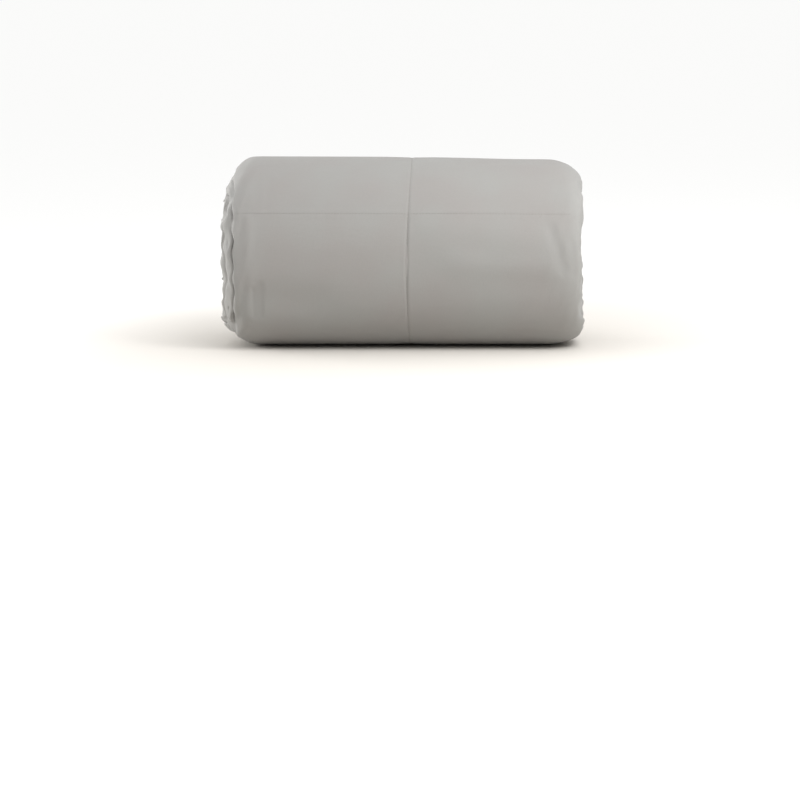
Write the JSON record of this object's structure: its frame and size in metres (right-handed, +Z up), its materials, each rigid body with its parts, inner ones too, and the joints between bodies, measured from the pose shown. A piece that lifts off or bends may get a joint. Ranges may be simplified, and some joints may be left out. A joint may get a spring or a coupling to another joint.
{
  "type": "quilted bedspread",
  "caption": "Quilted bedspread folded lengthwise into a layered strip and rolled up into a soft cylinder with drawn-in ends, resting on a small flat underside.",
  "frame": {"origin": "on the surface that the roll rests on, under the middle of its bounding box", "axes": "+X along the roll, +Z up, -Y towards the front, where the outermost turn comes down over the roll and goes under it"},
  "size_m": [0.4166, 0.2272, 0.2153],
  "materials": {
    "quilt_cloth": "smooth brushed microfibre in warm light grey, with a faint sheen and fine stitched lines"
  },
  "bodies": {
    "root": {"rolled_bedspread": "quilt_cloth"}
  },
  "joints": []
}
